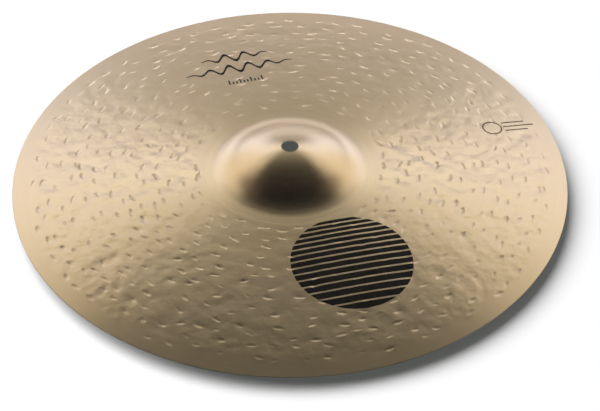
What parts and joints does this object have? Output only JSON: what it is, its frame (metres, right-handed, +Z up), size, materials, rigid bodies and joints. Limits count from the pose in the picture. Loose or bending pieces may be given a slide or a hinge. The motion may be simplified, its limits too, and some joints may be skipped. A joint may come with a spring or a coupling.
{
  "type": "crash cymbal",
  "caption": "Thin hammered bronze crash cymbal with a soft round bell, a centre hole, a shallow bow that thins to the rim, and printed geometric marks.",
  "frame": {"origin": "centre of the circle that the rim rests on, on the cymbal's axis", "axes": "+Z up the axis through the centre hole and out of the top of the bell; the big printed emblem lies towards -Y, which is the front; +X to the right"},
  "size_m": [0.4064, 0.4064, 0.0396],
  "materials": {
    "bronze": "lathed and hammered cast bronze with a soft satin shine",
    "black_ink": "thin printed ink, nearly matte",
    "brown_ink": "thin printed ink, nearly matte"
  },
  "bodies": {
    "root": {"cymbal_plate": "bronze", "emblem_ink": "black_ink", "flourish_ink": "black_ink", "tick_row_ink": "black_ink", "side_mark_ink": "brown_ink"}
  },
  "joints": []
}
